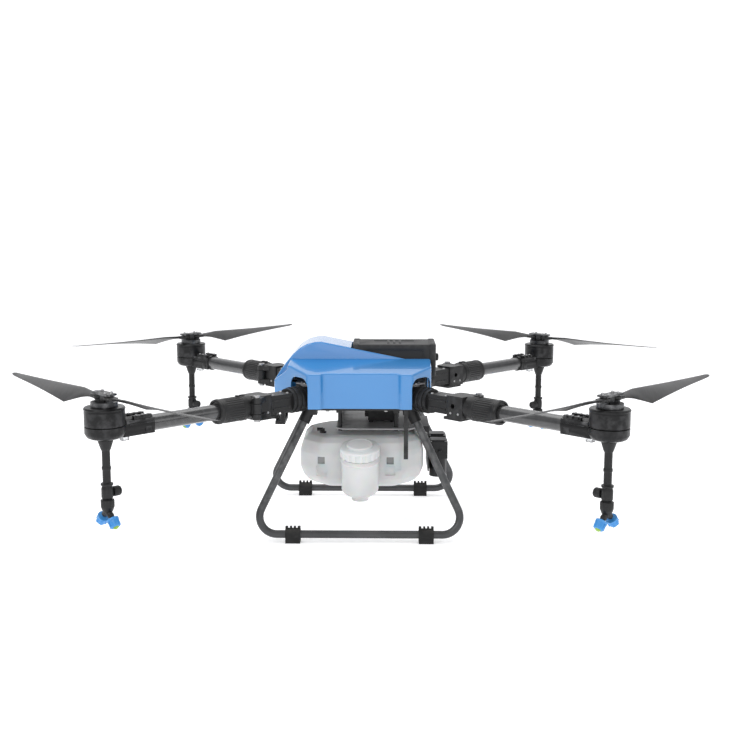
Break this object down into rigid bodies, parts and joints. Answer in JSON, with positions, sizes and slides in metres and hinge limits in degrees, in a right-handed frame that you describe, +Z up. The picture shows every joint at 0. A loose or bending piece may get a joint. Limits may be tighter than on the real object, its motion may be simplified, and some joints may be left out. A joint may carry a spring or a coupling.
{
  "type": "agricultural spray drone",
  "caption": "Folding quadcopter crop sprayer: blue canopy, lift-out battery, milky tank between two skids, folding arms, rotors and twin spray nozzles.",
  "frame": {"origin": "on the ground, under the middle of the four motors", "axes": "+X towards the tail, -X towards the nose, +Y towards the drone's right, +Z up"},
  "size_m": [1.5444, 1.5458, 0.4435],
  "materials": {
    "carbon_tube": "satin carbon fibre",
    "moulded_black": "satin moulded nylon",
    "motor_black": "satin black anodised",
    "hub_metal": "dark anodised aluminium",
    "blade_carbon": "satin carbon",
    "nozzle_black": "satin moulded plastic, blue spray caps",
    "gear_tube": "grey anodised tube",
    "pad_rubber": "matt rubber",
    "fastener_steel": "plain steel",
    "pump_black": "satin",
    "electronics_black": "fine textured plastic",
    "plate_grey": "grey carbon sheet",
    "tank_plastic": "milky blow-moulded polyethylene",
    "cap_plastic": "white moulded plastic",
    "canopy_blue": "gloss blue paint",
    "battery_black": "textured plastic"
  },
  "bodies": {
    "airframe": {"arm_roots": "moulded_black", "battery_tray": "plate_grey", "deck_hangers": "moulded_black", "flight_controller": "electronics_black", "fpv_camera": "electronics_black", "frame_beams": "moulded_black", "frame_fasteners": "fastener_steel", "gps_puck": "electronics_black", "landing_gear_left": "gear_tube", "landing_gear_right": "gear_tube", "leg_clamps": "moulded_black", "lower_deck": "plate_grey", "nose_bracket": "moulded_black", "power_module": "electronics_black", "pump_bracket": "moulded_black", "skid_pads": "pad_rubber", "spray_pumps": "pump_black", "top_plate": "plate_grey"},
    "canopy": {"canopy": "canopy_blue"},
    "battery": {"battery_case": "battery_black"},
    "tank": {"tank_shell": "tank_plastic", "tank_strainer": "cap_plastic", "tank_breather": "nozzle_black"},
    "tank_cap": {"tank_cap": "cap_plastic"},
    "arm_rear_right": {"fold_sleeve_rear_right": "moulded_black", "arm_tube_rear_right": "carbon_tube", "motor_mount_rear_right": "moulded_black", "spray_nozzle_rear_right": "nozzle_black"},
    "collar_rear_right": {"lock_collar_rear_right": "moulded_black"},
    "rotor_rear_right": {"motor_bell_rear_right": "motor_black", "prop_hub_rear_right": "hub_metal"},
    "blade_a_rear_right": {"blade_a_rear_right": "blade_carbon"},
    "blade_b_rear_right": {"blade_b_rear_right": "blade_carbon"},
    "arm_front_right": {"fold_sleeve_front_right": "moulded_black", "arm_tube_front_right": "carbon_tube", "motor_mount_front_right": "moulded_black", "spray_nozzle_front_right": "nozzle_black"},
    "collar_front_right": {"lock_collar_front_right": "moulded_black"},
    "rotor_front_right": {"motor_bell_front_right": "motor_black", "prop_hub_front_right": "hub_metal"},
    "blade_a_front_right": {"blade_a_front_right": "blade_carbon"},
    "blade_b_front_right": {"blade_b_front_right": "blade_carbon"},
    "arm_front_left": {"fold_sleeve_front_left": "moulded_black", "arm_tube_front_left": "carbon_tube", "motor_mount_front_left": "moulded_black", "spray_nozzle_front_left": "nozzle_black"},
    "collar_front_left": {"lock_collar_front_left": "moulded_black"},
    "rotor_front_left": {"motor_bell_front_left": "motor_black", "prop_hub_front_left": "hub_metal"},
    "blade_a_front_left": {"blade_a_front_left": "blade_carbon"},
    "blade_b_front_left": {"blade_b_front_left": "blade_carbon"},
    "arm_rear_left": {"fold_sleeve_rear_left": "moulded_black", "arm_tube_rear_left": "carbon_tube", "motor_mount_rear_left": "moulded_black", "spray_nozzle_rear_left": "nozzle_black"},
    "collar_rear_left": {"lock_collar_rear_left": "moulded_black"},
    "rotor_rear_left": {"motor_bell_rear_left": "motor_black", "prop_hub_rear_left": "hub_metal"},
    "blade_a_rear_left": {"blade_a_rear_left": "blade_carbon"},
    "blade_b_rear_left": {"blade_b_rear_left": "blade_carbon"}
  },
  "joints": [
    {"name": "fold_rear_right", "type": "hinge", "parent": "airframe", "child": "arm_rear_right", "pos_m": [0.2238, 0.26623, 0.3205], "axis": [0, 0, 1], "range_deg": [0, 135]},
    {"name": "collar_slide_rear_right", "type": "slide", "parent": "arm_rear_right", "child": "collar_rear_right", "axis": [0.7071, 0.7071, 0], "range_m": [0, 0.018]},
    {"name": "rotor_rear_right", "type": "hinge", "parent": "arm_rear_right", "child": "rotor_rear_right", "pos_m": [0.5, 0.5, 0.3365], "axis": [0, 0, 1], "continuous": true},
    {"name": "blade_fold_a_rear_right", "type": "hinge", "parent": "rotor_rear_right", "child": "blade_a_rear_right", "pos_m": [0.48586, 0.51414, 0.3865], "axis": [0, 0, 1], "range_deg": [0, 90]},
    {"name": "blade_fold_b_rear_right", "type": "hinge", "parent": "rotor_rear_right", "child": "blade_b_rear_right", "pos_m": [0.51414, 0.48586, 0.3865], "axis": [0, 0, 1], "range_deg": [-90, 0]},
    {"name": "fold_front_right", "type": "hinge", "parent": "airframe", "child": "arm_front_right", "pos_m": [-0.26623, 0.2238, 0.3205], "axis": [0, 0, 1], "range_deg": [0, 135]},
    {"name": "collar_slide_front_right", "type": "slide", "parent": "arm_front_right", "child": "collar_front_right", "axis": [-0.7071, 0.7071, 0], "range_m": [0, 0.018]},
    {"name": "rotor_front_right", "type": "hinge", "parent": "arm_front_right", "child": "rotor_front_right", "pos_m": [-0.5, 0.5, 0.3365], "axis": [0, 0, 1], "continuous": true},
    {"name": "blade_fold_a_front_right", "type": "hinge", "parent": "rotor_front_right", "child": "blade_a_front_right", "pos_m": [-0.51414, 0.48586, 0.3865], "axis": [0, 0, 1], "range_deg": [0, 90]},
    {"name": "blade_fold_b_front_right", "type": "hinge", "parent": "rotor_front_right", "child": "blade_b_front_right", "pos_m": [-0.48586, 0.51414, 0.3865], "axis": [0, 0, 1], "range_deg": [-90, 0]},
    {"name": "fold_front_left", "type": "hinge", "parent": "airframe", "child": "arm_front_left", "pos_m": [-0.2238, -0.26623, 0.3205], "axis": [0, 0, 1], "range_deg": [0, 135]},
    {"name": "collar_slide_front_left", "type": "slide", "parent": "arm_front_left", "child": "collar_front_left", "axis": [-0.7071, -0.7071, 0], "range_m": [0, 0.018]},
    {"name": "rotor_front_left", "type": "hinge", "parent": "arm_front_left", "child": "rotor_front_left", "pos_m": [-0.5, -0.5, 0.3365], "axis": [0, 0, 1], "continuous": true},
    {"name": "blade_fold_a_front_left", "type": "hinge", "parent": "rotor_front_left", "child": "blade_a_front_left", "pos_m": [-0.48586, -0.51414, 0.3865], "axis": [0, 0, 1], "range_deg": [0, 90]},
    {"name": "blade_fold_b_front_left", "type": "hinge", "parent": "rotor_front_left", "child": "blade_b_front_left", "pos_m": [-0.51414, -0.48586, 0.3865], "axis": [0, 0, 1], "range_deg": [-90, 0]},
    {"name": "fold_rear_left", "type": "hinge", "parent": "airframe", "child": "arm_rear_left", "pos_m": [0.26623, -0.2238, 0.3205], "axis": [0, 0, 1], "range_deg": [0, 135]},
    {"name": "collar_slide_rear_left", "type": "slide", "parent": "arm_rear_left", "child": "collar_rear_left", "axis": [0.7071, -0.7071, 0], "range_m": [0, 0.018]},
    {"name": "rotor_rear_left", "type": "hinge", "parent": "arm_rear_left", "child": "rotor_rear_left", "pos_m": [0.5, -0.5, 0.3365], "axis": [0, 0, 1], "continuous": true},
    {"name": "blade_fold_a_rear_left", "type": "hinge", "parent": "rotor_rear_left", "child": "blade_a_rear_left", "pos_m": [0.51414, -0.48586, 0.3865], "axis": [0, 0, 1], "range_deg": [0, 90]},
    {"name": "blade_fold_b_rear_left", "type": "hinge", "parent": "rotor_rear_left", "child": "blade_b_rear_left", "pos_m": [0.48586, -0.51414, 0.3865], "axis": [0, 0, 1], "range_deg": [-90, 0]},
    {"name": "canopy_lift", "type": "slide", "parent": "airframe", "child": "canopy", "axis": [0, 0, 1], "range_m": [0, 0.18]},
    {"name": "battery_lift", "type": "slide", "parent": "airframe", "child": "battery", "axis": [0, 0, 1], "range_m": [0, 0.27]},
    {"name": "tank_lower", "type": "slide", "parent": "airframe", "child": "tank", "axis": [0, 0, -1], "range_m": [0, 0.055]},
    {"name": "cap_lift", "type": "slide", "parent": "tank", "child": "tank_cap", "axis": [0, -0.2079, 0.9781], "range_m": [0, 0.03]}
  ],
  "couplings": [
    {"joint": "blade_fold_a_rear_right", "follows": "fold_rear_right", "ratio": 0.66667},
    {"joint": "blade_fold_b_rear_right", "follows": "fold_rear_right", "ratio": -0.66667},
    {"joint": "blade_fold_a_front_right", "follows": "fold_front_right", "ratio": 0.66667},
    {"joint": "blade_fold_b_front_right", "follows": "fold_front_right", "ratio": -0.66667},
    {"joint": "blade_fold_a_front_left", "follows": "fold_front_left", "ratio": 0.66667},
    {"joint": "blade_fold_b_front_left", "follows": "fold_front_left", "ratio": -0.66667},
    {"joint": "blade_fold_a_rear_left", "follows": "fold_rear_left", "ratio": 0.66667},
    {"joint": "blade_fold_b_rear_left", "follows": "fold_rear_left", "ratio": -0.66667}
  ]
}
